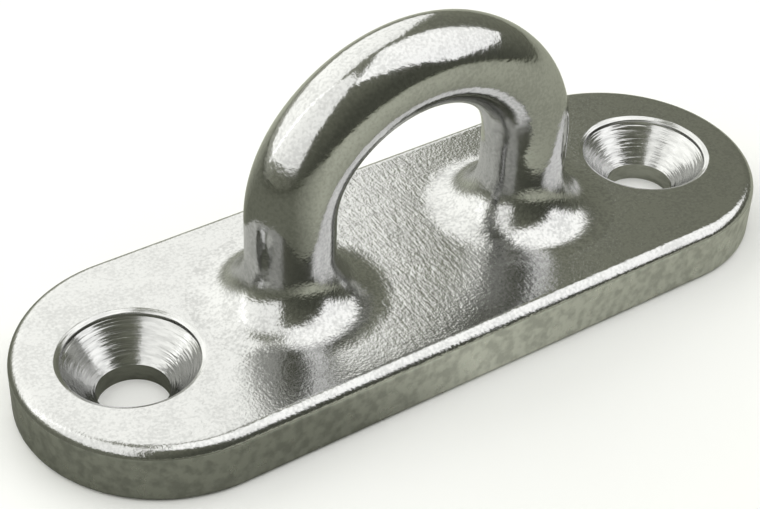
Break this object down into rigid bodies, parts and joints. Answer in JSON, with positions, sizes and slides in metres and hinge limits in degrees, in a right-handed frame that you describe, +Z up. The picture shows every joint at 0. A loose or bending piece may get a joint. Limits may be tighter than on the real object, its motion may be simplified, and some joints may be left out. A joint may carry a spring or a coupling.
{
  "type": "pad eye",
  "caption": "Deck pad eye: a round bar bent into a fixed eye and welded to a flat oblong base plate with a countersunk screw hole at each end.",
  "frame": {"origin": "centre of the base plate's underside", "axes": "+X along the plate from the left screw hole to the right one, +Y across the plate, +Z up through the eye"},
  "size_m": [0.077, 0.0266, 0.0291],
  "materials": {
    "plate_steel": "hand polished stainless steel plate",
    "bar_steel": "mirror polished stainless steel bar",
    "weld_steel": "dressed and polished stainless steel weld"
  },
  "bodies": {
    "root": {"base_plate": "plate_steel", "eye_bar": "bar_steel", "left_foot_weld": "weld_steel", "right_foot_weld": "weld_steel", "left_plug_weld": "weld_steel", "right_plug_weld": "weld_steel"}
  },
  "joints": []
}
